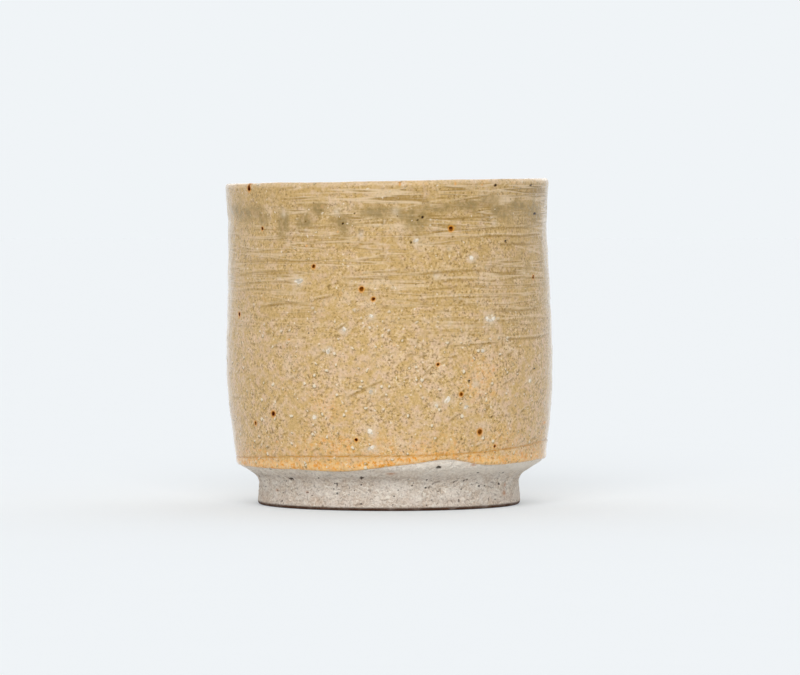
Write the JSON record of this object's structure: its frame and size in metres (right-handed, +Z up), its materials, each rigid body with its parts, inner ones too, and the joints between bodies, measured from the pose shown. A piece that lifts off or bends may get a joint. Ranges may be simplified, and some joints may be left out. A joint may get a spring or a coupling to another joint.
{
  "type": "tea cup",
  "caption": "Handleless stoneware tea cup with a barrel-shaped wall, a turned cone under the shoulder, a bare clay foot ring and a sandy ash glaze.",
  "frame": {"origin": "centre of the standing ring on the table", "axes": "+Z up along the foot's axis, -Y is the side that faces the viewer in the picture, +X to the viewer's right"},
  "size_m": [0.0803, 0.08, 0.0796],
  "materials": {
    "bare_clay": "unglazed, matte, gritty",
    "ash_glaze": "satin, sandy",
    "rim_glaze": "satin, olive where it is thick",
    "feldspar": "fused, milky",
    "iron": "fused, glossy"
  },
  "bodies": {
    "root": {"clay_body": "bare_clay", "foot_ring": "bare_clay", "outer_glaze": "ash_glaze", "inner_glaze": "ash_glaze", "rim_glaze": "rim_glaze", "feldspar_stones": "feldspar", "iron_specks": "iron"}
  },
  "joints": []
}
